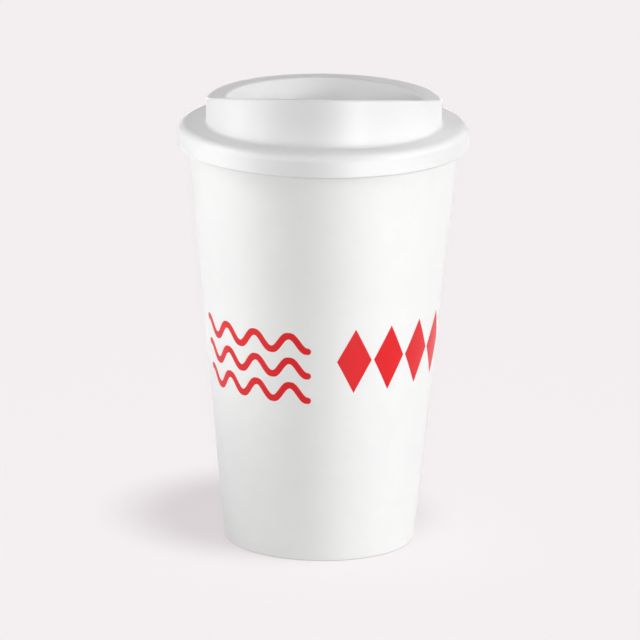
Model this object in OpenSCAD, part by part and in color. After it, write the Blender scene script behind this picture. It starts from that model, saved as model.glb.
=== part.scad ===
// Paper coffee cup with a press-on lid, in millimetres.
// The axis is Z, the cup stands on z = 0, and the lid's raised drinking lip faces -Y.

/* [Cup] */
// Height of the cup over its rolled rim
cup_h = 135; // [110:1:160]
// Diameter over the rolled rim
rim_d = 90; // [84:0.5:96]
// Diameter of the foot
foot_d = 61; // [54:0.5:66]
// Thickness of the side wall's coated board
board = 0.45; // [0.35:0.05:0.55]
// Diameter of the rolled rim's section
curl_d = 2.3; // [2:0.1:3]
// How far the roll turns in past its outermost point, in degrees
curl_turn = 110; // [60:5:115]
// Width of the glued overlap at the side seam
lap_w = 8; // [5:0.5:12]
// Width of the slope that leads up onto the overlap
lap_ramp = 2.5; // [1.5:0.5:4]
// Rounding of the pressed fold that the cup stands on
fold_r = 0.3; // [0.2:0.05:0.35]

/* [Base] */
// Height of the cup's floor over the table
floor_h = 8; // [6:0.5:14]
// Thickness of the base's board
base_board = 0.4; // [0.3:0.05:0.5]
// Outer rounding where the base turns down into its skirt
base_bend = 1; // [0.7:0.1:1.5]
// Distance from the floor's upper face down to the top of the folded hem
hem_drop = 2; // [1.8:0.1:3]
// Gap between folded layers
layer_gap = 0.05; // [0.03:0.01:0.08]

/* [Lid] */
// Wall thickness of the lid
lid_wall = 0.75; // [0.6:0.05:1]
// Gap between the rolled rim and the lid's skirt
rim_fit = 0.25; // [0.15:0.05:0.5]
// Gap between the rolled rim and the brim that rests on it
seat_gap = 0.05; // [0.02:0.01:0.1]
// Height of the brim from its top face to its lower edge
brim_h = 7.3; // [6:0.1:12]
// Rounding of the brim's outer shoulder
shoulder_r = 2.4; // [1.5:0.1:2.8]
// Rounding of the brim's lower edge
skirt_edge = 0.6; // [0.3:0.05:0.6]
// Height of the sealing ring that plugs the cup's mouth
plug_h = 4; // [2.5:0.5:6]
// Thickness of the sealing ring
plug_wall = 0.7; // [0.5:0.05:1]
// Gap between the sealing ring and the cup's wall
plug_fit = 0.3; // [0.2:0.05:0.5]

/* [Collar] */
// Width of the brim's ledge outside the raised collar
ledge_w = 8.7; // [7:0.1:11]
// Height of the collar's level back over the brim
collar_h = 7.5; // [5:0.1:12]
// How much higher the collar's front is than its back
lip_rise = 8.6; // [4:0.1:14]
// Width of the collar's flat top
land_w = 6.2; // [5:0.1:8]
// Rounding of the collar's upper edges
edge_r = 0.8; // [0.5:0.1:1.2]
// Fillet at the foot of the collar and round the well's floor
fillet_r = 0.8; // [0.4:0.1:1.2]
// Depth of the well's floor below the brim's top face
well_drop = 1; // [0.5:0.1:2.5]

/* [Drinking hole] */
// Length of the drinking hole, across the lid
sip_l = 16; // [10:0.5:20]
// Width of the drinking hole
sip_w = 5.6; // [4.6:0.1:6.5]
// Plastic left between the drinking hole and the collar's top
sip_edge = 1.2; // [0.8:0.1:2]
// How far the drinking shelf reaches into the well
shelf_w = 9; // [8.5:0.5:12]
// Depth of the drinking shelf below the collar's top
shelf_drop = 1; // [0.5:0.1:2]
// Diameter of the vent
vent_d = 1.5; // [1:0.1:2.5]
// Distance of the vent in from the well's wall
vent_in = 7.1; // [4:0.1:20]

/* [Hidden] */
$fn = 144;
// Overshoot of cuts and buried joins
over = 1;
// How far a bend runs on into the straight board it joins, in degrees
tuck = 1;

// Rolled rim: its section's radius and centre
curl_r = curl_d / 2;
curl_x = rim_d / 2 - curl_r;
curl_z = cup_h - curl_r;
// Lean of the wall: its outer face runs from the foot to touch the inside of the roll
wall_reach = [curl_x - foot_d / 2, curl_z];
lean = atan(wall_reach[0] / wall_reach[1]) - asin((curl_r - board) / norm(wall_reach));
// Depths into the layers of the foot, square to the wall's outer face
slot_w = base_board + 2 * layer_gap;
hem_d = board + slot_w;
foot_w = hem_d + board;
hem_z = floor_h - hem_drop;
skirt_d = board + layer_gap;
base_z = board + layer_gap;
// The overlap runs from just above the fold to just under the roll
lap_z = [board, cup_h - curl_d - board];

// Lid radii and heights
skirt_r = rim_d / 2 + rim_fit;
brim_r = skirt_r + lid_wall;
seat_z = cup_h + seat_gap;
brim_z = seat_z + lid_wall;
skirt_z = brim_z - brim_h;
plug_z = seat_z - plug_h;
plug_r = layer_r(plug_z, board) - plug_fit;
collar_r = brim_r - ledge_w;
well_r = collar_r - land_w;
well_z = brim_z - well_drop;
back_z = brim_z + collar_h;
// Height at which the plain lower ring of the collar meets its shaped top
split_z = brim_z + collar_h / 2;
lip_slope = lip_rise / collar_r;
shelf_y = -(well_r - shelf_w);
sip_y = -(well_r - sip_edge - sip_w / 2);
vent_y = well_r - vent_in;

// Radius of a layer of the cup at height z, depth d in from the wall's outer face
function layer_r(z, d) = foot_d / 2 + z * tan(lean) - d / cos(lean);
// Point at radius r and angle a round a centre
function polar(centre, r, a) = centre + r * [cos(a), sin(a)];
// Height of the lip's sloping plane in front of the axis
function land_z(y) = back_z - lip_slope * y;

// Ring section from angle a0 to a1, for a bend in board
module bend(centre, r_in, r_out, a0, a1) {
  reach = 4 * r_out;
  span = a1 - a0;
  intersection() {
    difference() {
      translate(centre)
        circle(r = r_out);
      translate(centre)
        circle(r = r_in);
    }
    polygon(concat([centre], [for (i = [0:4]) polar(centre, reach, a0 + span * i / 4)]));
  }
}

// Half section of a block, from the axis to radius r, with round outer corners
module round_block(r, z0, z1, top_r, foot_r) {
  translate([0, z0 + foot_r])
    square([r, z1 - z0 - foot_r - top_r]);
  if (top_r > 0) {
    translate([0, z1 - top_r - over / 2])
      square([r - top_r, top_r + over / 2]);
    translate([r - top_r, z1 - top_r])
      circle(r = top_r);
  }
  if (foot_r > 0) {
    translate([0, z0])
      square([r - foot_r, foot_r + over / 2]);
    translate([r - foot_r, z0 + foot_r])
      circle(r = foot_r);
  }
}

// Side wall in section: hem, pressed fold and wall in one run of board
module wall_section() {
  out_x = layer_r(0, 0);
  in_x = layer_r(0, foot_w);
  out_t = fold_r / tan((90 + lean) / 2);
  in_t = fold_r / tan((90 - lean) / 2);
  centre = [curl_x, curl_z];
  polygon([
    [out_x - out_t, 0],
    [out_x + out_t * sin(lean), out_t * cos(lean)],
    polar(centre, curl_r - board, 180 - lean),
    polar(centre, curl_r, 180 - lean),
    [layer_r(board, board), board],
    [layer_r(board, hem_d), board],
    [layer_r(hem_z, hem_d), hem_z],
    [layer_r(hem_z, foot_w), hem_z],
    [in_x + in_t * sin(lean), in_t * cos(lean)],
    [in_x + in_t, 0]
  ]);
  translate([out_x - out_t, fold_r])
    circle(r = fold_r);
  translate([in_x + in_t, fold_r])
    circle(r = fold_r);
}

// Second layer of board at the side seam, with a step at one edge and a slope at the other
module lap() {
  edge_x = lap_w / 2;
  mid_z = cup_h / 2;
  mid_r = layer_r(mid_z, 0);
  crest_y = sqrt(pow(mid_r + board, 2) - pow(edge_x, 2));
  toe_y = sqrt(pow(mid_r, 2) - pow(edge_x + lap_ramp, 2));
  difference() {
    intersection() {
      rotate_extrude()
        polygon([
          [layer_r(lap_z[0], board / 2), lap_z[0]],
          [layer_r(lap_z[0], -board), lap_z[0]],
          [layer_r(lap_z[1], -board), lap_z[1]],
          [layer_r(lap_z[1], board / 2), lap_z[1]]
        ]);
      translate([-edge_x - lap_ramp - over, 0, 0])
        cube([lap_w + lap_ramp + over, rim_d, cup_h]);
    }
    translate([-edge_x, crest_y, mid_z])
      rotate([-lean, 0, 0])
        rotate([0, 0, atan((crest_y - toe_y) / lap_ramp)])
          translate([-rim_d / 2, 0, -cup_h])
            cube([rim_d / 2, rim_d / 4, 2 * cup_h]);
  }
}

// Conical wall with its rolled rim, side seam and folded foot, all one piece of board
module sidewall() {
  color("white") {
    rotate_extrude() {
      wall_section();
      bend([curl_x, curl_z], curl_r - board, curl_r, -curl_turn, 180 - lean + tuck);
    }
    lap();
  }
}

// Dished base: a floor whose edge turns down into the slot of the folded foot
module base_disc() {
  edge_x = layer_r(floor_h, skirt_d);
  centre = [edge_x - base_bend / tan((90 - lean) / 2), floor_h - base_bend];
  color("white")
    rotate_extrude() {
      translate([0, floor_h - base_board])
        square([centre[0], base_board]);
      bend(centre, base_bend - base_board, base_bend, -lean - tuck, 90 + tuck);
      polygon([
        polar(centre, base_bend, -lean),
        polar(centre, base_bend - base_board, -lean),
        [layer_r(base_z, skirt_d + base_board), base_z],
        [layer_r(base_z, skirt_d), base_z]
      ]);
    }
}

// Brim in section: it caps the rolled rim and its skirt hangs outside it
module brim_section() {
  difference() {
    round_block(brim_r, skirt_z, brim_z, shoulder_r, skirt_edge);
    round_block(skirt_r, skirt_z - over, seat_z, curl_r, 0);
    translate([0, skirt_z])
      square([collar_r - lid_wall, brim_h + over]);
  }
}

// Sealing ring in section, bevelled to lead into the cup's mouth
module plug_section() {
  lead = plug_wall / 2;
  polygon([
    [plug_r - plug_wall, seat_z + lid_wall / 2],
    [plug_r, seat_z + lid_wall / 2],
    [plug_r, plug_z + 2 * lead],
    [plug_r - lead, plug_z],
    [plug_r - plug_wall, plug_z]
  ]);
}

// Well in section: the floor and the lower part of the wall round it
module well_section() {
  difference() {
    round_block(well_r + lid_wall, well_z - lid_wall, split_z, 0, fillet_r + lid_wall);
    round_block(well_r, well_z, split_z + over, 0, fillet_r);
  }
}

// Foot of the collar in section, with the fillet that joins it to the brim
module collar_foot_section() {
  translate([collar_r - lid_wall, seat_z])
    square([lid_wall, split_z - seat_z]);
  difference() {
    translate([collar_r - lid_wall / 2, brim_z - lid_wall / 2])
      square([fillet_r + lid_wall / 2, fillet_r + lid_wall / 2]);
    translate([collar_r + fillet_r, brim_z + fillet_r])
      circle(r = fillet_r);
  }
}

// Hollow ridge in section: two walls under a flat top with round edges
module ridge_section(z0) {
  difference() {
    union() {
      translate([well_r, z0])
        square([land_w, back_z - edge_r - z0]);
      translate([well_r + edge_r, back_z - edge_r - over / 2])
        square([land_w - 2 * edge_r, edge_r + over / 2]);
      for (x = [well_r + edge_r, collar_r - edge_r])
        translate([x, back_z - edge_r])
          circle(r = edge_r);
    }
    translate([well_r + lid_wall, z0 - over])
      square([land_w - 2 * lid_wall, back_z - lid_wall - z0 + over]);
  }
}

// Top of the collar: level behind the axis, and the same section sheared up into the lip in front
module ridge() {
  rotate_extrude(angle = 180)
    ridge_section(split_z);
  intersection() {
    multmatrix([[1, 0, 0, 0], [0, 1, 0, 0], [0, -lip_slope, 1, 0], [0, 0, 0, 1]])
      rotate_extrude(angle = 180, start = 180)
        ridge_section(split_z - lip_rise - over);
    translate([-rim_d, -rim_d, split_z])
      cube([2 * rim_d, 2 * rim_d, collar_h + lip_rise]);
  }
}

// Plan of the lid inside radius r, from the front as far back as y
module front_plan(r, y) {
  intersection() {
    circle(r = r);
    translate([-r, -r])
      square([2 * r, r + y]);
  }
}

// Prism across the lid, drawn as its side view in Y and Z
module across() {
  rotate([90, 0, 90])
    linear_extrude(height = rim_d, center = true)
      children();
}

// Side view of the drinking shelf, shrunk by a wall for its hollow
module shelf_side(inset) {
  rear = shelf_y - inset;
  front = -collar_r;
  low = well_z - lid_wall - (inset > 0 ? over : 0);
  round_r = inset > 0 ? 0 : edge_r;
  tangent = round_r / tan((90 + atan(lip_slope)) / 2);
  top = land_z(rear) - shelf_drop - inset;
  slope = atan(lip_slope);
  polygon([
    [front, low],
    [rear, low],
    [rear, top - tangent],
    [rear - tangent * cos(slope), top + tangent * sin(slope)],
    [front, land_z(front) - shelf_drop - inset]
  ]);
  if (round_r > 0)
    translate([rear - round_r, top - tangent])
      circle(r = round_r);
}

// Shelf behind the lip that carries the drinking hole
module shelf() {
  intersection() {
    across()
      shelf_side(0);
    linear_extrude(height = 2 * cup_h)
      front_plan(well_r + lid_wall / 2, shelf_y + over);
  }
}

// Hollow under the shelf, open to the cup and to the ridge
module shelf_hollow() {
  intersection() {
    across()
      shelf_side(lid_wall);
    linear_extrude(height = 2 * cup_h)
      front_plan(well_r + land_w / 2, shelf_y);
  }
}

// Drinking hole, straight up through the shelf
module sip_hole() {
  run = sip_l - sip_w;
  translate([0, sip_y, well_z])
    linear_extrude(height = collar_h + lip_rise) {
      square([run, sip_w], center = true);
      for (x = [-run / 2, run / 2])
        translate([x, 0])
          circle(r = sip_w / 2);
    }
}

// Press-on lid, moulded in one piece
module lid() {
  color("whitesmoke")
    difference() {
      union() {
        rotate_extrude() {
          brim_section();
          plug_section();
          well_section();
          collar_foot_section();
        }
        ridge();
        shelf();
      }
      shelf_hollow();
      sip_hole();
      translate([0, vent_y, well_z - lid_wall - over])
        cylinder(d = vent_d, h = lid_wall + 2 * over);
    }
}

sidewall();
base_disc();
lid();
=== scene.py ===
import math
import bmesh
import bpy
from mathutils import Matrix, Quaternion, Vector


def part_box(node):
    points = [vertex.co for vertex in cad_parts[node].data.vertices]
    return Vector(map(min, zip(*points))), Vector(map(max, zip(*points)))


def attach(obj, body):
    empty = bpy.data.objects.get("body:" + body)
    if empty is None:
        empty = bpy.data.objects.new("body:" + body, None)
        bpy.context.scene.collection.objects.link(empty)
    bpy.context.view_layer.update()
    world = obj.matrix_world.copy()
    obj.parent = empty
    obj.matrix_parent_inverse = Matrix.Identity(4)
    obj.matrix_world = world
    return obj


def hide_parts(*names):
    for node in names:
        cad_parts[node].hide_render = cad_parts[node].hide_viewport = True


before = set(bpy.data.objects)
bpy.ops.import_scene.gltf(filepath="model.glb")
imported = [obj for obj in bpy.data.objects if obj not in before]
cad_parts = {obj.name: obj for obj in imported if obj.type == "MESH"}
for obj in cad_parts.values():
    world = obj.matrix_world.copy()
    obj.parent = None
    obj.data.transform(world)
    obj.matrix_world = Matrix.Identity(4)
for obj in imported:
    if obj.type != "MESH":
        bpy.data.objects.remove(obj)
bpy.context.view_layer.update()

# Paper coffee cup with a press-on lid. Sizes are in mm up to the stage, and in metres from there on.
mm = 0.001

# Tools


def hexColour(code, share=1.0):
    # sRGB hex to the linear values that the shaders take; a share under 1 is a darker tone of it
    parts = [int(code[i:i + 2], 16) / 255 for i in (1, 3, 5)]
    linear = [p / 12.92 if p <= 0.04045 else ((p + 0.055) / 1.055) ** 2.4 for p in parts]
    return (*[c * share for c in linear], 1)


def addNode(tree, kind, settings=None, inputs=None):
    # an input takes a plain value, an output, or a node, which stands for its first output
    node = tree.nodes.new(kind)
    for name, value in (settings or {}).items():
        setattr(node, name, value)
    for name, value in (inputs or {}).items():
        if isinstance(value, bpy.types.Node):
            value = value.outputs[0]
        if isinstance(value, bpy.types.NodeSocket):
            tree.links.new(value, node.inputs[name])
        else:
            node.inputs[name].default_value = value
    return node


def arc(centre, radius, fromDeg, toDeg, steps):
    # points of an arc in the plane of (radius, height), both ends included
    turns = [math.radians(fromDeg + (toDeg - fromDeg) * i / steps) for i in range(steps + 1)]
    return [(centre[0] + radius * math.cos(t), centre[1] + radius * math.sin(t)) for t in turns]


def meshObject(name, mesh):
    made = bpy.data.objects.new(name, mesh)
    bpy.context.scene.collection.objects.link(made)
    return made


def plainMesh(made):
    # the evaluated shape becomes the object's own mesh, and every modifier goes
    bpy.context.view_layer.update()
    graph = bpy.context.evaluated_depsgraph_get()
    mesh = bpy.data.meshes.new_from_object(made.evaluated_get(graph))
    made.modifiers.clear()
    made.data = mesh
    return made


def loft(name, loops):
    # a closed solid through loops of (x, y, z) points in mm, with the same count in each
    work = bmesh.new()
    rings = [[work.verts.new([c * mm for c in point]) for point in loop] for loop in loops]
    for low, high in zip(rings, rings[1:]):
        for i in range(len(low)):
            j = (i + 1) % len(low)
            work.faces.new((low[i], low[j], high[j], high[i]))
    work.faces.new(rings[0])
    work.faces.new(rings[-1])
    bmesh.ops.recalc_face_normals(work, faces=work.faces)
    mesh = bpy.data.meshes.new(name)
    work.to_mesh(mesh)
    work.free()
    return meshObject(name, mesh)


def cutWith(made, steps):
    # exact Booleans in the order given: pairs of a tool object and UNION or DIFFERENCE
    for tool, operation in steps:
        step = made.modifiers.new(tool.name, "BOOLEAN")
        step.solver = "EXACT"
        step.operation = operation
        step.object = tool
    plainMesh(made)
    for tool, operation in steps:
        bpy.data.objects.remove(tool)
    return made


def softShade(made, sharpDeg):
    # smooth over the rounded edges, while flat faces stay flat
    work = bmesh.new()
    work.from_mesh(made.data)
    bmesh.ops.recalc_face_normals(work, faces=work.faces)
    work.to_mesh(made.data)
    work.free()
    made.data.shade_smooth()
    made.data.set_sharp_from_angle(angle=math.radians(sharpDeg))
    weigh = made.modifiers.new("weigh", "WEIGHTED_NORMAL")
    weigh.keep_sharp = True
    return plainMesh(made)


def faceMaterials(made, materials, rule):
    # rule gives each face's place in the list from its centre and normal, in mm
    made.data.materials.clear()
    for material in materials:
        made.data.materials.append(material)
    for face in made.data.polygons:
        face.material_index = rule(face.center / mm, face.normal)


# Turned pieces: one tree sweeps a half section round the axis. Above a set height it lifts what lies
# in front of the axis along a sloping plane, which gives the lid's collar its drinking lip.

sweep = {
    "pathRadius": 20.0,
    "weld": 0.001,
    "noLift": 1000.0,  # higher than any piece
    "sharpDeg": 35,
}


def turningTree():
    tree = bpy.data.node_groups.new("turnedSection", "GeometryNodeTree")
    inputs = (("Section", "Geometry"), ("Segments", "Int"), ("Path Radius", "Float"), ("Weld", "Float"),
              ("Lift Above", "Float"), ("Lift Slope", "Float"), ("Lift Blend", "Float"),
              ("Material", "Material"))
    for name, kind in inputs:
        tree.interface.new_socket(name, in_out="INPUT", socket_type="NodeSocket" + kind)
    tree.interface.new_socket("Turned", in_out="OUTPUT", socket_type="NodeSocketGeometry")
    given = addNode(tree, "NodeGroupInput").outputs
    outline = addNode(tree, "GeometryNodeMeshToCurve", inputs={"Mesh": given["Section"]})
    path = addNode(tree, "GeometryNodeCurvePrimitiveCircle",
                   inputs={"Resolution": given["Segments"], "Radius": given["Path Radius"]})
    swept = addNode(tree, "GeometryNodeCurveToMesh", inputs={"Curve": path, "Profile Curve": outline})
    closed = addNode(tree, "GeometryNodeMergeByDistance",
                     inputs={"Geometry": swept, "Distance": given["Weld"]})
    place = addNode(tree, "GeometryNodeInputPosition")
    axes = addNode(tree, "ShaderNodeSeparateXYZ", inputs={"Vector": place}).outputs
    above = addNode(tree, "ShaderNodeMath", {"operation": "GREATER_THAN"},
                    {0: axes["Z"], 1: given["Lift Above"]})
    front = addNode(tree, "ShaderNodeMath", {"operation": "MULTIPLY"}, {0: axes["Y"], 1: -1.0})
    ahead = addNode(tree, "ShaderNodeMath", {"operation": "SMOOTH_MAX"},
                    {0: front, 1: 0.0, 2: given["Lift Blend"]})
    rise = addNode(tree, "ShaderNodeMath", {"operation": "MULTIPLY"}, {0: ahead, 1: given["Lift Slope"]})
    offset = addNode(tree, "ShaderNodeCombineXYZ", inputs={"Z": rise})
    lifted = addNode(tree, "GeometryNodeSetPosition",
                     inputs={"Geometry": closed, "Selection": above, "Offset": offset})
    real = addNode(tree, "GeometryNodeRealizeInstances", inputs={"Geometry": lifted})
    skin = addNode(tree, "GeometryNodeSetMaterial", inputs={"Geometry": real, "Material": given["Material"]})
    addNode(tree, "NodeGroupOutput", inputs={"Turned": skin})
    return tree


turnedSection = turningTree()


def turned(name, section, closed, sizes, material):
    # section: (radius, height) points in mm; the sweep's path has a radius of its own, so that comes off
    points = [((radius - sweep["pathRadius"]) * mm, -height * mm, 0) for radius, height in section]
    edges = [(i, i + 1) for i in range(len(points) - 1)]
    if closed:
        edges.append((len(points) - 1, 0))
    mesh = bpy.data.meshes.new(name)
    mesh.from_pydata(points, edges, [])
    made = meshObject(name, mesh)
    lathe = made.modifiers.new("lathe", "NODES")
    lathe.node_group = turnedSection
    values = {"Segments": sizes["segments"], "Path Radius": sweep["pathRadius"] * mm,
              "Weld": sweep["weld"] * mm, "Lift Above": sizes.get("liftAbove", sweep["noLift"]) * mm,
              "Lift Slope": sizes.get("liftSlope", 0.0), "Lift Blend": sizes.get("liftBlend", 0.0) * mm,
              "Material": material}
    for item in turnedSection.interface.items_tree:
        if item.in_out == "INPUT" and item.name in values:
            lathe[item.identifier] = values[item.name]
    return plainMesh(made)


# Cup: its wall, rolled rim and folded foot are one run of board

cup = {
    "footRadius": 30.5,
    "board": 0.45,
    "curlRadius": 1.15,
    "curlTurn": 110,
    "foldRadius": 0.3,
    "layerGap": 0.05,
    "hemDrop": 2.0,
    "seamWidth": 8.0,
    "seamSlope": 2.5,
    "seamEdge": 0.12,
    "seamRows": 24,
    "segments": 360,
}
base = {
    "board": 0.4,
    "bend": 1.0,
    "segments": 360,
}

cup["height"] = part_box("sidewall")[1].z / mm
cup["rimRadius"] = round(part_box("sidewall")[1].x / mm, 1)
base["floorZ"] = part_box("base_disc")[1].z / mm

curlCentre = (cup["rimRadius"] - cup["curlRadius"], cup["height"] - cup["curlRadius"])
reach = (curlCentre[0] - cup["footRadius"], curlCentre[1])
lean = math.atan2(*reach) - math.asin((cup["curlRadius"] - cup["board"]) / math.hypot(*reach))
leanDeg = math.degrees(lean)
hemTop = base["floorZ"] - cup["hemDrop"]


def layerRadius(z, depth):
    # radius of a layer of the wall at height z, at a depth square to the outer face
    return cup["footRadius"] + z * math.tan(lean) - depth / math.cos(lean)


def sidewallSection():
    board, fold = cup["board"], cup["foldRadius"]
    hemDepth = board + base["board"] + 2 * cup["layerGap"]
    footDepth = hemDepth + board
    outFoot = (layerRadius(0, 0) - fold / math.tan((math.pi / 2 + lean) / 2), fold)
    inFoot = (layerRadius(0, footDepth) + fold / math.tan((math.pi / 2 - lean) / 2), fold)
    section = arc(outFoot, fold, -90, -leanDeg, steps=6)
    section += arc(curlCentre, cup["curlRadius"] - board, 180 - leanDeg, -cup["curlTurn"], steps=30)
    section += arc(curlCentre, cup["curlRadius"], -cup["curlTurn"], 180 - leanDeg, steps=36)
    section += [(layerRadius(board, board), board), (layerRadius(board, hemDepth), board)]
    section += [(layerRadius(hemTop, hemDepth), hemTop), (layerRadius(hemTop, footDepth), hemTop)]
    section += arc(inFoot, fold, 180 - leanDeg, 270, steps=6)
    return section


def baseSection():
    board, bend = base["board"], base["bend"]
    skirt = cup["board"] + cup["layerGap"]
    bendX = layerRadius(base["floorZ"], skirt) - bend / math.tan((math.pi / 2 - lean) / 2)
    centre = (bendX, base["floorZ"] - bend)
    section = [(0, base["floorZ"])] + arc(centre, bend, 90, -leanDeg, steps=8)
    section += [(layerRadius(skirt, skirt), skirt), (layerRadius(skirt, skirt + board), skirt)]
    section += arc(centre, bend - board, -leanDeg, 90, steps=6) + [(0, base["floorZ"] - board)]
    return section


def seamLap():
    # the second layer of board at the seam: a slope at one edge and a cut step at the other
    board, edge, rows = cup["board"], cup["seamEdge"], cup["seamRows"]
    half, slope = cup["seamWidth"] / 2, cup["seamSlope"]
    outside = [(-half - slope, 0), (-half - slope / 2, board / 2 - edge / 4), (-half, board - edge / 4)]
    outside += [(-half + edge * 3, board), (0, board), (half - edge * 4, board)]
    outside += arc((half - edge, board - edge), edge, 90, 0, steps=6)
    inside = [(x, -board / 2) for x, proud in reversed(outside)]
    top = cup["height"] - 2 * cup["curlRadius"] - board
    loops = []
    for i in range(rows + 1):
        z = board + (top - board) * i / rows
        radii = [(x, layerRadius(z, -proud)) for x, proud in outside + inside]
        loops.append([(x, math.sqrt(radius ** 2 - x ** 2), z) for x, radius in radii])
    return loft("seamLap", loops)


# how much of a face's normal points a way before the face counts as turned that way
facing = {"square": 0.9, "mostly": 0.8, "half": 0.5}


def wallFinish(centre, normal):
    # 0 is the printed outside, 1 the lining and 2 the raw cut edge; the lining rolls over the rim
    radius = math.hypot(centre.x, centre.y)
    inward = -(normal.x * centre.x + normal.y * centre.y) / radius
    fromCurl = math.hypot(radius - curlCentre[0], centre.z - curlCentre[1])
    seamStep = (centre.y > 0 and normal.x > facing["mostly"]
                and abs(centre.x - cup["seamWidth"] / 2) < cup["seamEdge"])
    rollEnd = abs(fromCurl - cup["curlRadius"] + cup["board"] / 2) < cup["board"] / 4
    hemEdge = normal.z > facing["square"] and abs(centre.z - hemTop) < cup["layerGap"]
    if rollEnd or hemEdge or (seamStep and radius > layerRadius(centre.z, 0)):
        return 2
    onRoll = abs(fromCurl - cup["curlRadius"]) < cup["layerGap"]
    within = radius < layerRadius(centre.z, cup["board"] / 2)
    inside = inward > facing["half"] and centre.z > hemTop and within
    return 1 if onRoll or inside else 0


def baseFinish(centre, normal):
    # the lining covers the disc's top and the skirt's outside
    radius = max(math.hypot(centre.x, centre.y), cup["layerGap"])
    inward = -(normal.x * centre.x + normal.y * centre.y) / radius
    if normal.z < -facing["square"] and centre.z < hemTop:
        return 2
    return 1 if normal.z > facing["half"] or inward < -facing["half"] else 0


# Lid: moulded in one piece, with a hollow collar that rises to the drinking lip in front

lid = {
    "wall": 0.75,
    "rimFit": 0.25,
    "seatGap": 0.05,
    "shoulder": 2.4,
    "skirtEdge": 0.6,
    "plugHeight": 4.0,
    "plugWall": 0.7,
    "plugFit": 0.3,
    "ledge": 8.7,
    "collarHeight": 7.5,
    "land": 6.2,
    "edge": 0.8,
    "fillet": 0.8,
    "wellDrop": 1.0,
    "liftBlend": 4.5,
    "sipLength": 16.0,
    "sipWidth": 5.6,
    "sipWeb": 1.2,
    "sipEdge": 0.25,
    "shelf": 9.0,
    "shelfDrop": 1.0,
    "vent": 1.5,
    "ventIn": 7.1,
    "ventEdge": 0.15,
    "toolPast": 1.0,  # how far a cutting tool runs on past the lid
    "segments": 288,
}
lidLow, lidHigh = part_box("lid")
skirtZ = lidLow.z / mm
skirtRadius = cup["rimRadius"] + lid["rimFit"]
brimRadius = skirtRadius + lid["wall"]
seatZ = cup["height"] + lid["seatGap"]
brimZ = seatZ + lid["wall"]
collarRadius = brimRadius - lid["ledge"]
wellRadius = collarRadius - lid["land"]
wellZ = brimZ - lid["wellDrop"]
backZ = brimZ + lid["collarHeight"]
lid["liftAbove"] = brimZ + lid["collarHeight"] / 2
lid["liftSlope"] = (lidHigh.z / mm - backZ) / collarRadius
plugZ = seatZ - lid["plugHeight"]
plugRadius = layerRadius(plugZ, cup["board"]) - lid["plugFit"]
shelfY = lid["shelf"] - wellRadius
shelfTilt = math.degrees(math.atan(lid["liftSlope"]))


def lidSection():
    wall, edge, fillet, foot = lid["wall"], lid["edge"], lid["fillet"], lid["skirtEdge"]
    curl, shoulder, under = cup["curlRadius"], lid["shoulder"], lid["fillet"] + lid["wall"]
    plugIn, lead = plugRadius - lid["plugWall"], lid["plugWall"] / 2
    section = [(0, wellZ)] + arc((wellRadius - fillet, wellZ + fillet), fillet, -90, 0, steps=8)
    section += arc((wellRadius + edge, backZ - edge), edge, 180, 90, steps=8)
    section += arc((collarRadius - edge, backZ - edge), edge, 90, 0, steps=8)
    section += arc((collarRadius + fillet, brimZ + fillet), fillet, 180, 270, steps=8)
    section += arc((brimRadius - shoulder, brimZ - shoulder), shoulder, 90, 0, steps=14)
    section += arc((brimRadius - foot, skirtZ + foot), foot, 0, -90, steps=6)
    section += [(skirtRadius, skirtZ)] + arc((skirtRadius - curl, seatZ - curl), curl, 0, 90, steps=10)
    section += [(plugRadius, seatZ), (plugRadius, plugZ + 2 * lead), (plugRadius - lead, plugZ)]
    section += [(plugIn, plugZ), (plugIn, seatZ), (collarRadius - wall, seatZ)]
    section += [(collarRadius - wall, backZ - wall), (wellRadius + wall, backZ - wall)]
    section += arc((wellRadius + wall - under, wellZ - wall + under), under, 0, -90, steps=8)
    section += [(0, wellZ - wall)]
    return section


def lipZ(y):
    # height of the lip's sloping plane in front of the axis
    return backZ - lid["liftSlope"] * y


def frontBlock(name, rearY, radius, drop, lowZ, roundness):
    # the part of a round block in front of rearY, under the lip's plane, with a round upper rear edge
    sections = [(rearY, lipZ(rearY) - drop)]
    if roundness:
        tangent = roundness / math.tan(math.radians((90 + shelfTilt) / 2))
        sections = arc((rearY - roundness, sections[0][1] - tangent), roundness, 0, 90 - shelfTilt, steps=8)
    first = math.degrees(math.acos(-sections[-1][0] / radius))
    steps = 48
    for i in range(1, steps + 1):
        # half a step is left at the front, where the block would run out into an edge
        y = -radius * math.cos(math.radians(first * (1 - i / (steps + 0.5))))
        sections.append((y, lipZ(y) - drop))
    loops = []
    for y, z in sections:
        half = math.sqrt(radius ** 2 - y ** 2)
        loops.append([(-half, y, lowZ), (half, y, lowZ), (half, y, z), (-half, y, z)])
    return loft(name, loops)


def slotTool(name, centre, length, width, edge, topAt, lowZ, highZ):
    # a slot with round ends that flares at the surface, so that the cut's rim comes out rounded;
    # each level is how far the slot grows, how deep it lies under the surface, or else its height
    run = (length - width) / 2
    levels = [(0, None, lowZ)]
    levels += [(edge - x, y - edge, None) for x, y in arc((0, 0), edge, 0, 90, steps=6)]
    levels += [(edge, None, highZ)]
    loops = []
    for grow, rise, fixedZ in levels:
        half = width / 2 + grow
        loop = [(centre[0] + run + x, centre[1] + y) for x, y in arc((0, 0), half, -90, 90, steps=16)]
        loop += [(centre[0] - run + x, centre[1] + y) for x, y in arc((0, 0), half, 90, 270, steps=16)]
        loops.append([(x, y, topAt(y) + rise if fixedZ is None else fixedZ) for x, y in loop])
    return loft(name, loops)


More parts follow.
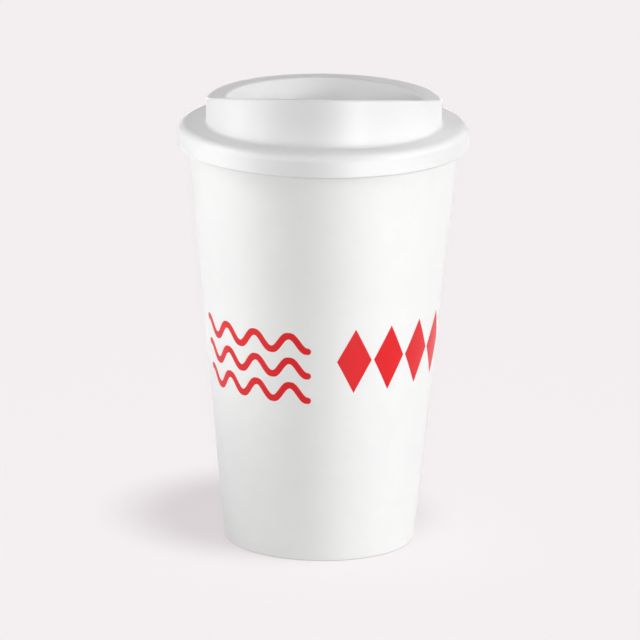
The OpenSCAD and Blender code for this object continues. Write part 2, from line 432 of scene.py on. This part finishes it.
def cutLid(made):
    wall, past = lid["wall"], lid["toolPast"]
    sipY = -(wellRadius - lid["sipWeb"] - lid["sipWidth"] / 2)
    ventY = wellRadius - lid["ventIn"]
    under, over = wellZ - wall - past, lidHigh.z / mm + past
    shelf = frontBlock("shelfTool", shelfY, wellRadius + wall / 2, lid["shelfDrop"],
                       wellZ - wall / 2, lid["edge"])
    hollow = frontBlock("hollowTool", shelfY - wall, wellRadius + lid["land"] / 2,
                        lid["shelfDrop"] + wall, under, roundness=0)
    sip = slotTool("sipTool", (0, sipY), lid["sipLength"], lid["sipWidth"], lid["sipEdge"],
                   lambda y: lipZ(y) - lid["shelfDrop"], wellZ, over)
    vent = slotTool("ventTool", (0, ventY), lid["vent"], lid["vent"], lid["ventEdge"],
                    lambda y: wellZ, under, wellZ + past)
    return cutWith(made, ((shelf, "UNION"), (hollow, "DIFFERENCE"), (sip, "DIFFERENCE"),
                          (vent, "DIFFERENCE")))


# Materials: every pattern's size is in mm, and noise swings about its middle value. Real fibres and the
# mould's real texture are under 0.1 mm wide, so both are drawn coarser, as coarse as they need to show.

boardFinish = {
    "white": "#F4F4F3",
    "tone": 0.985,
    "roughness": (0.42, 0.50),
    "fibre": 0.9,
    "fibreDetail": 4.0,
    "fibreRun": 3.0,
    "fibreDepth": 0.02,
    "fibreStrength": 0.3,
    "cloud": 6.0,
    "cloudDetail": 2.0,
    "ink": "#E20814",
    "inkRoughness": 0.38,
}
# the lining is extruded polyethylene, which is smoother and glossier than the outside's coat
liningFinish = {
    **boardFinish,
    "white": "#F2F2F0",
    "tone": 0.99,
    "roughness": (0.30, 0.34),
    "fibreStrength": 0.1,
}
edgeFinish = {
    "pulp": "#E6E1D6",
    "tone": 0.88,
    "roughness": 0.9,
    "fibre": 0.4,
    "fibreDetail": 5.0,
    "fibreDepth": 0.05,
    "fibreStrength": 0.6,
}
lidFinish = {
    "white": "#EEEEEE",
    "tone": 0.985,
    "roughness": (0.30, 0.38),
    "ior": 1.49,
    "grain": 0.35,
    "grainDepth": 0.01,
    "grainStrength": 0.25,
    "flow": 14.0,
    "detail": 2.0,
}
noiseLow, noiseHigh = 0.3, 0.7

# Red print on the wall, in mm: across runs round the wall from the front, measured at the print's height
printHeight = 67.0
waves = {
    "centre": -24.9,
    "height": 64.8,
    "length": 11.8,
    "turns": 3.5,
    "swing": 2.4,
    "spacing": 8.2,
    "stroke": 2.2,
}
diamonds = {
    "centre": 29.0,
    "height": 67.2,
    "pitch": 12.2,
    "halfWidth": 5.7,
    "halfHeight": 10.6,
}


def inkMask(tree, point):
    # 1 where ink lies: three wavy lines on the left and a row of four diamonds on the right
    axes = addNode(tree, "ShaderNodeSeparateXYZ", inputs={"Vector": point}).outputs
    made = {"x": axes["X"], "y": axes["Y"], "z": axes["Z"]}
    turn, run = 2 * math.pi / waves["length"], waves["length"] * waves["turns"] / 2
    steps = (
        ("front", "MULTIPLY", "y", -1.0),
        ("angle", "ARCTAN2", "x", "front"),
        ("across", "MULTIPLY", "angle", layerRadius(printHeight, 0)),
        ("height", "MULTIPLY", "z", 1 / mm),
        # the way along a wave, and how steep it is there; past its ends it runs on level
        ("along", "SUBTRACT", "across", waves["centre"]),
        ("started", "MAXIMUM", "along", -run),
        ("ended", "MINIMUM", "started", run),
        ("phase", "MULTIPLY", "ended", turn),
        ("sine", "SINE", "phase"),
        ("swing", "MULTIPLY", "sine", waves["swing"]),
        ("cosine", "COSINE", "phase"),
        ("slope", "MULTIPLY", "cosine", waves["swing"] * turn),
        ("slopeSquare", "MULTIPLY_ADD", "slope", "slope", 1.0),
        ("stretch", "SQRT", "slopeSquare"),
        # the distance to the nearest of three waves, square to it, and past its round end
        ("level", "SUBTRACT", "height", waves["height"]),
        ("offMiddle", "SUBTRACT", "level", "swing"),
        ("fold", "ABSOLUTE", "offMiddle"),
        ("outer", "SUBTRACT", "fold", waves["spacing"]),
        ("offOuter", "ABSOLUTE", "outer"),
        ("nearest", "MINIMUM", "fold", "offOuter"),
        ("away", "DIVIDE", "nearest", "stretch"),
        ("side", "ABSOLUTE", "along"),
        ("past", "SUBTRACT", "side", run),
        ("beyond", "MAXIMUM", "past", 0.0),
        ("awaySquare", "MULTIPLY", "away", "away"),
        ("distanceSquare", "MULTIPLY_ADD", "beyond", "beyond", "awaySquare"),
        ("distance", "SQRT", "distanceSquare"),
        ("waveInk", "LESS_THAN", "distance", waves["stroke"] / 2),
        # folding the width twice lays all four diamonds onto one
        ("right", "SUBTRACT", "across", diamonds["centre"]),
        ("halves", "ABSOLUTE", "right"),
        ("inner", "SUBTRACT", "halves", diamonds["pitch"]),
        ("quarters", "ABSOLUTE", "inner"),
        ("offCell", "SUBTRACT", "quarters", diamonds["pitch"] / 2),
        ("cell", "ABSOLUTE", "offCell"),
        ("wide", "DIVIDE", "cell", diamonds["halfWidth"]),
        ("up", "SUBTRACT", "height", diamonds["height"]),
        ("rise", "ABSOLUTE", "up"),
        ("tall", "DIVIDE", "rise", diamonds["halfHeight"]),
        ("share", "ADD", "wide", "tall"),
        ("diamondInk", "LESS_THAN", "share", 1.0),
        ("ink", "MAXIMUM", "waveInk", "diamondInk"),
    )
    for name, operation, *values in steps:
        inputs = {i: made.get(value, value) for i, value in enumerate(values)}
        made[name] = addNode(tree, "ShaderNodeMath", {"operation": operation}, inputs)
    return made["ink"]


def newMaterial(name):
    made = bpy.data.materials.new(name)
    made.use_nodes = True
    made.node_tree.nodes.clear()
    return made, made.node_tree


def coatedBoard(name, finish, printed):
    # bleached board, coated and calendered: white and satin, with faint upright fibres and a cloudy sheen
    made, tree = newMaterial(name)
    point = addNode(tree, "ShaderNodeTexCoord").outputs["Object"]
    drawn = addNode(tree, "ShaderNodeMapping",
                    inputs={"Vector": point, "Scale": (1, 1, 1 / finish["fibreRun"])})
    fibres = addNode(tree, "ShaderNodeTexNoise",
                     inputs={"Vector": drawn, "Scale": 1 / (finish["fibre"] * mm),
                             "Detail": finish["fibreDetail"]})
    cloud = addNode(tree, "ShaderNodeTexNoise",
                    inputs={"Vector": point, "Scale": 1 / (finish["cloud"] * mm),
                            "Detail": finish["cloudDetail"]})
    share = addNode(tree, "ShaderNodeMapRange", inputs={"Value": cloud, 1: noiseLow, 2: noiseHigh})
    colour = addNode(tree, "ShaderNodeMix", {"data_type": "RGBA"},
                     {0: share, 6: hexColour(finish["white"], finish["tone"]),
                      7: hexColour(finish["white"])})
    roughness = addNode(tree, "ShaderNodeMapRange", inputs={"Value": share, 3: finish["roughness"][0],
                                                            4: finish["roughness"][1]})
    if printed:
        # the ink lies on the coat and is a little smoother
        ink = inkMask(tree, point)
        colour = addNode(tree, "ShaderNodeMix", {"data_type": "RGBA"},
                         {0: ink, 6: colour.outputs[2], 7: hexColour(finish["ink"])})
        roughness = addNode(tree, "ShaderNodeMix", inputs={0: ink, 2: roughness, 3: finish["inkRoughness"]})
    bump = addNode(tree, "ShaderNodeBump", inputs={"Height": fibres, "Distance": finish["fibreDepth"] * mm,
                                                   "Strength": finish["fibreStrength"]})
    shader = addNode(tree, "ShaderNodeBsdfPrincipled", inputs={"Base Color": colour.outputs[2],
                                                               "Roughness": roughness, "Normal": bump})
    addNode(tree, "ShaderNodeOutputMaterial", inputs={"Surface": shader})
    return made


def cutBoard():
    # the board's raw core where a knife went through it: matt, open fibres, a little warmer than the coat
    made, tree = newMaterial("board_cut_edge")
    point = addNode(tree, "ShaderNodeTexCoord").outputs["Object"]
    fibres = addNode(tree, "ShaderNodeTexNoise",
                     inputs={"Vector": point, "Scale": 1 / (edgeFinish["fibre"] * mm),
                             "Detail": edgeFinish["fibreDetail"]})
    tint = addNode(tree, "ShaderNodeMix", {"data_type": "RGBA"},
                   {0: fibres, 6: hexColour(edgeFinish["pulp"], edgeFinish["tone"]),
                    7: hexColour(edgeFinish["pulp"])})
    bump = addNode(tree, "ShaderNodeBump",
                   inputs={"Height": fibres, "Distance": edgeFinish["fibreDepth"] * mm,
                           "Strength": edgeFinish["fibreStrength"]})
    shader = addNode(tree, "ShaderNodeBsdfPrincipled",
                     inputs={"Base Color": tint.outputs[2], "Roughness": edgeFinish["roughness"],
                             "Normal": bump})
    addNode(tree, "ShaderNodeOutputMaterial", inputs={"Surface": shader})
    return made


def mouldedPolypropylene():
    # injection-moulded polypropylene from a finely eroded mould: white and satin, with soft flow marks
    made, tree = newMaterial("polypropylene_moulded")
    point = addNode(tree, "ShaderNodeTexCoord").outputs["Object"]
    grain = addNode(tree, "ShaderNodeTexNoise",
                    inputs={"Vector": point, "Scale": 1 / (lidFinish["grain"] * mm),
                            "Detail": lidFinish["detail"]})
    flow = addNode(tree, "ShaderNodeTexNoise",
                   inputs={"Vector": point, "Scale": 1 / (lidFinish["flow"] * mm),
                           "Detail": lidFinish["detail"]})
    share = addNode(tree, "ShaderNodeMapRange", inputs={"Value": flow, 1: noiseLow, 2: noiseHigh})
    tint = addNode(tree, "ShaderNodeMix", {"data_type": "RGBA"},
                   {0: share, 6: hexColour(lidFinish["white"], lidFinish["tone"]),
                    7: hexColour(lidFinish["white"])})
    roughness = addNode(tree, "ShaderNodeMapRange", inputs={"Value": share, 3: lidFinish["roughness"][0],
                                                            4: lidFinish["roughness"][1]})
    bump = addNode(tree, "ShaderNodeBump", inputs={"Height": grain, "Distance": lidFinish["grainDepth"] * mm,
                                                   "Strength": lidFinish["grainStrength"]})
    shader = addNode(tree, "ShaderNodeBsdfPrincipled",
                     inputs={"Base Color": tint.outputs[2], "IOR": lidFinish["ior"],
                             "Roughness": roughness, "Normal": bump})
    addNode(tree, "ShaderNodeOutputMaterial", inputs={"Surface": shader})
    return made


printedBoard = coatedBoard("board_coated_printed", boardFinish, True)
linedBoard = coatedBoard("board_lined_polyethylene", liningFinish, False)
boardEdge = cutBoard()
lidPlastic = mouldedPolypropylene()
boards = [printedBoard, linedBoard, boardEdge]
print("materials made")

sidewall = turned("sidewall_skin", sidewallSection(), True, cup, printedBoard)
softShade(cutWith(sidewall, ((seamLap(), "UNION"),)), sweep["sharpDeg"])
faceMaterials(sidewall, boards, wallFinish)
print("side wall made")

baseDisc = softShade(turned("base_skin", baseSection(), False, base, linedBoard), sweep["sharpDeg"])
faceMaterials(baseDisc, boards, baseFinish)
print("base made")

lidShell = softShade(cutLid(turned("lid_skin", lidSection(), False, lid, lidPlastic)), sweep["sharpDeg"])
print("lid made")

for piece, body, node, slot in ((sidewall, "cup", "sidewall", "coated_board"),
                                (baseDisc, "cup", "base_disc", "coated_board"),
                                (lidShell, "lid", "lid", "lid_plastic")):
    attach(piece, body)
    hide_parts(node)

# Floor, light and camera, in metres, degrees and watts. The sun lights the floor alone and the lamps
# leave it out, so that the sun sets the shadow. The sun's level is what it alone gives a white floor,
# and ring is how bright the world's ring of light is: each stop is an angle up and a share of that.

stage = {
    "backdrop": "#F3EEF0",
    "floorHalf": 5.0,
    "below": 0.0001,
    "floorShade": 0.2,
    "sunLevel": 1.08,
    "sunTurn": 35.0,
    "sunHeight": 79.0,
    "sunAngle": 12.0,
    "ring": 3.124,
    "ringStops": ((8, 0.0), (10, 1.0), (16, 1.0), (18, 0.0),
                  (43, 0.0), (45, 0.115), (70, 0.115), (72, 0.0)),
    "aimHeight": 0.08,
}
strip = {"reach": 0.35, "size": (0.06, 0.3), "grid": 14}
panel = {"reach": 0.5, "size": (0.2, 0.2), "grid": 180}
# turn is where a lamp stands as seen from above (0 in front, 90 at the right), height how high, and
# beside how far to the right of the axis it aims; the strips' grids keep their light in a narrow band
lamps = {
    "keyPanel": {**panel, "turn": 30, "height": 0.02, "beside": 0, "watts": 1.04},
    "frontStrip": {**strip, "turn": 0, "height": 0.17, "beside": 0.05, "watts": 0.032},
    "crossStrip": {**strip, "turn": -40, "height": 0.32, "beside": 0.08, "watts": 0.053},
    "rightStrip": {**strip, "turn": 80, "height": 0.17, "beside": 0.02, "watts": 0.026},
    "fillStrip": {**strip, "turn": -20, "height": 0.17, "beside": -0.05, "watts": 0.024},
    "lowStrip": {**strip, "turn": 20, "height": 0.03, "beside": -0.08, "watts": 0.022},
    "lowLeftStrip": {**strip, "turn": -60, "height": 0.03, "beside": -0.02, "watts": 0.014},
    "leftStrip": {**strip, "turn": -100, "height": 0.32, "beside": 0.08, "watts": 0.060},
    "leftPanel": {**panel, "turn": -90, "height": 0.02, "beside": 0, "watts": 0.471},
    "backPanel": {**panel, "turn": 180, "height": 0.02, "beside": 0, "watts": 0.9},
}


def seenRays(tree):
    # 1 for the camera and for mirror and glass rays, which show the backdrop; 0 for the rest
    rays = addNode(tree, "ShaderNodeLightPath").outputs
    mirrored = addNode(tree, "ShaderNodeMath", {"operation": "MAXIMUM"},
                       {0: rays["Is Glossy Ray"], 1: rays["Is Transmission Ray"]})
    return addNode(tree, "ShaderNodeMath", {"operation": "MAXIMUM"}, {0: rays["Is Camera Ray"], 1: mirrored})


def ringOnFloor():
    # what the ring of light gives a white floor: its level over the square of the sine, stop by stop
    squares = [(math.sin(math.radians(angle)) ** 2, level) for angle, level in stage["ringStops"]]
    steps = zip(squares, squares[1:])
    return stage["ring"] * sum((b[0] - a[0]) * (a[1] + b[1]) / 2 for a, b in steps)


def mattFloor(made):
    # a matt grey floor that glows up to the backdrop's colour for the rays that see it
    shade = stage["floorShade"]
    glow = [c - shade * (stage["sunLevel"] + ringOnFloor()) for c in hexColour(stage["backdrop"])[:3]]
    paint, tree = newMaterial("floor_matt")
    shader = addNode(tree, "ShaderNodeBsdfPrincipled",
                     inputs={"Base Color": (shade, shade, shade, 1), "Roughness": 1.0,
                             "Specular IOR Level": 0.0, "Emission Color": (*glow, 1),
                             "Emission Strength": seenRays(tree)})
    addNode(tree, "ShaderNodeOutputMaterial", inputs={"Surface": shader})
    paint.cycles.emission_sampling = "NONE"
    made.data.materials.append(paint)


def litOnly(name, state):
    # a light's receivers: the floor alone, or all but the floor
    group = bpy.data.collections.new(name)
    group.objects.link(floor)
    group.collection_objects[0].light_linking.link_state = state
    return group


def addLight(name, kind, values, place, aim, receivers):
    data = bpy.data.lights.new(name, kind)
    for key, value in values.items():
        setattr(data, key, value)
    made = bpy.data.objects.new(name, data)
    made.location = place
    made.rotation_mode = "QUATERNION"
    made.rotation_quaternion = (aim - place).to_track_quat("-Z", "Y")
    made.visible_camera = False
    made.light_linking.receiver_collection = receivers
    bpy.context.scene.collection.objects.link(made)


edge = stage["floorHalf"]
corners = [(-edge, -edge), (edge, -edge), (edge, edge), (-edge, edge)]
floorMesh = bpy.data.meshes.new("floor")
floorMesh.from_pydata([(x, y, -stage["below"]) for x, y in corners], [], [(0, 1, 2, 3)])
floor = meshObject("floor", floorMesh)
mattFloor(floor)
floorOnly = litOnly("floorOnly", "INCLUDE")
floorOut = litOnly("floorOut", "EXCLUDE")

turn, rise = math.radians(stage["sunTurn"]), math.radians(stage["sunHeight"])
sunPlace = Vector((math.sin(turn) * math.cos(rise), -math.cos(turn) * math.cos(rise), math.sin(rise)))
addLight("sun", "SUN", {"energy": stage["sunLevel"] * math.pi / math.sin(rise),
                        "angle": math.radians(stage["sunAngle"])}, sunPlace, Vector((0, 0, 0)), floorOnly)
for name, lamp in lamps.items():
    turn = math.radians(lamp["turn"])
    beside = Vector((math.cos(turn), math.sin(turn), 0)) * lamp["beside"]
    away = Vector((math.sin(turn), -math.cos(turn), 0)) * lamp["reach"]
    values = {"shape": "RECTANGLE", "size": lamp["size"][0], "size_y": lamp["size"][1],
              "spread": math.radians(lamp["grid"]), "energy": lamp["watts"]}
    addLight(name, "AREA", values, away + beside + Vector((0, 0, lamp["height"])),
             beside + Vector((0, 0, stage["aimHeight"])), floorOut)

# A bright ring of soft light stands low round the cup and a faint one high; seen rays get the backdrop
world = bpy.data.worlds.new("studio")
world.use_nodes = True
sky = world.node_tree
sky.nodes.clear()
upward = addNode(sky, "ShaderNodeSeparateXYZ", inputs={"Vector": addNode(sky, "ShaderNodeTexCoord")})
ring = addNode(sky, "ShaderNodeValToRGB", inputs={"Fac": upward.outputs["Z"]})
stops = ring.color_ramp.elements
while len(stops) < len(stage["ringStops"]):
    stops.new(0.5)
for stop, (angle, level) in zip(stops, stage["ringStops"]):
    stop.position = math.sin(math.radians(angle))
    stop.color = (level, level, level, 1)
ringLight = addNode(sky, "ShaderNodeBackground", inputs={"Color": ring, "Strength": stage["ring"]})
plain = addNode(sky, "ShaderNodeBackground", inputs={"Color": hexColour(stage["backdrop"])})
mixed = addNode(sky, "ShaderNodeMixShader", inputs={0: seenRays(sky), 1: ringLight, 2: plain})
addNode(sky, "ShaderNodeOutputWorld", inputs={"Surface": mixed})
bpy.context.scene.world = world

camera = {
    "distance": 1.83,
    "elevation": 14.893,
    "axisHeight": 0.080,
    "aim": (-0.00051, 0.0, 0.07096),
    "roll": 0.637,
    "lens": 322.8,
    "sensor": 36.0,
}
cameraData = bpy.data.cameras.new("camera")
cameraData.lens = camera["lens"]
cameraData.sensor_width = camera["sensor"]
cameraObject = bpy.data.objects.new("camera", cameraData)
bpy.context.scene.collection.objects.link(cameraObject)
lift = math.radians(camera["elevation"])
cameraObject.location = (0, -camera["distance"] * math.cos(lift),
                         camera["axisHeight"] + camera["distance"] * math.sin(lift))
gaze = (Vector(camera["aim"]) - cameraObject.location).to_track_quat("-Z", "Y")
cameraObject.rotation_mode = "QUATERNION"
cameraObject.rotation_quaternion = gaze @ Quaternion((0, 0, 1), math.radians(camera["roll"]))
bpy.context.scene.camera = cameraObject
bpy.context.scene.view_settings.view_transform = "Standard"
print("stage, lamps and camera set")
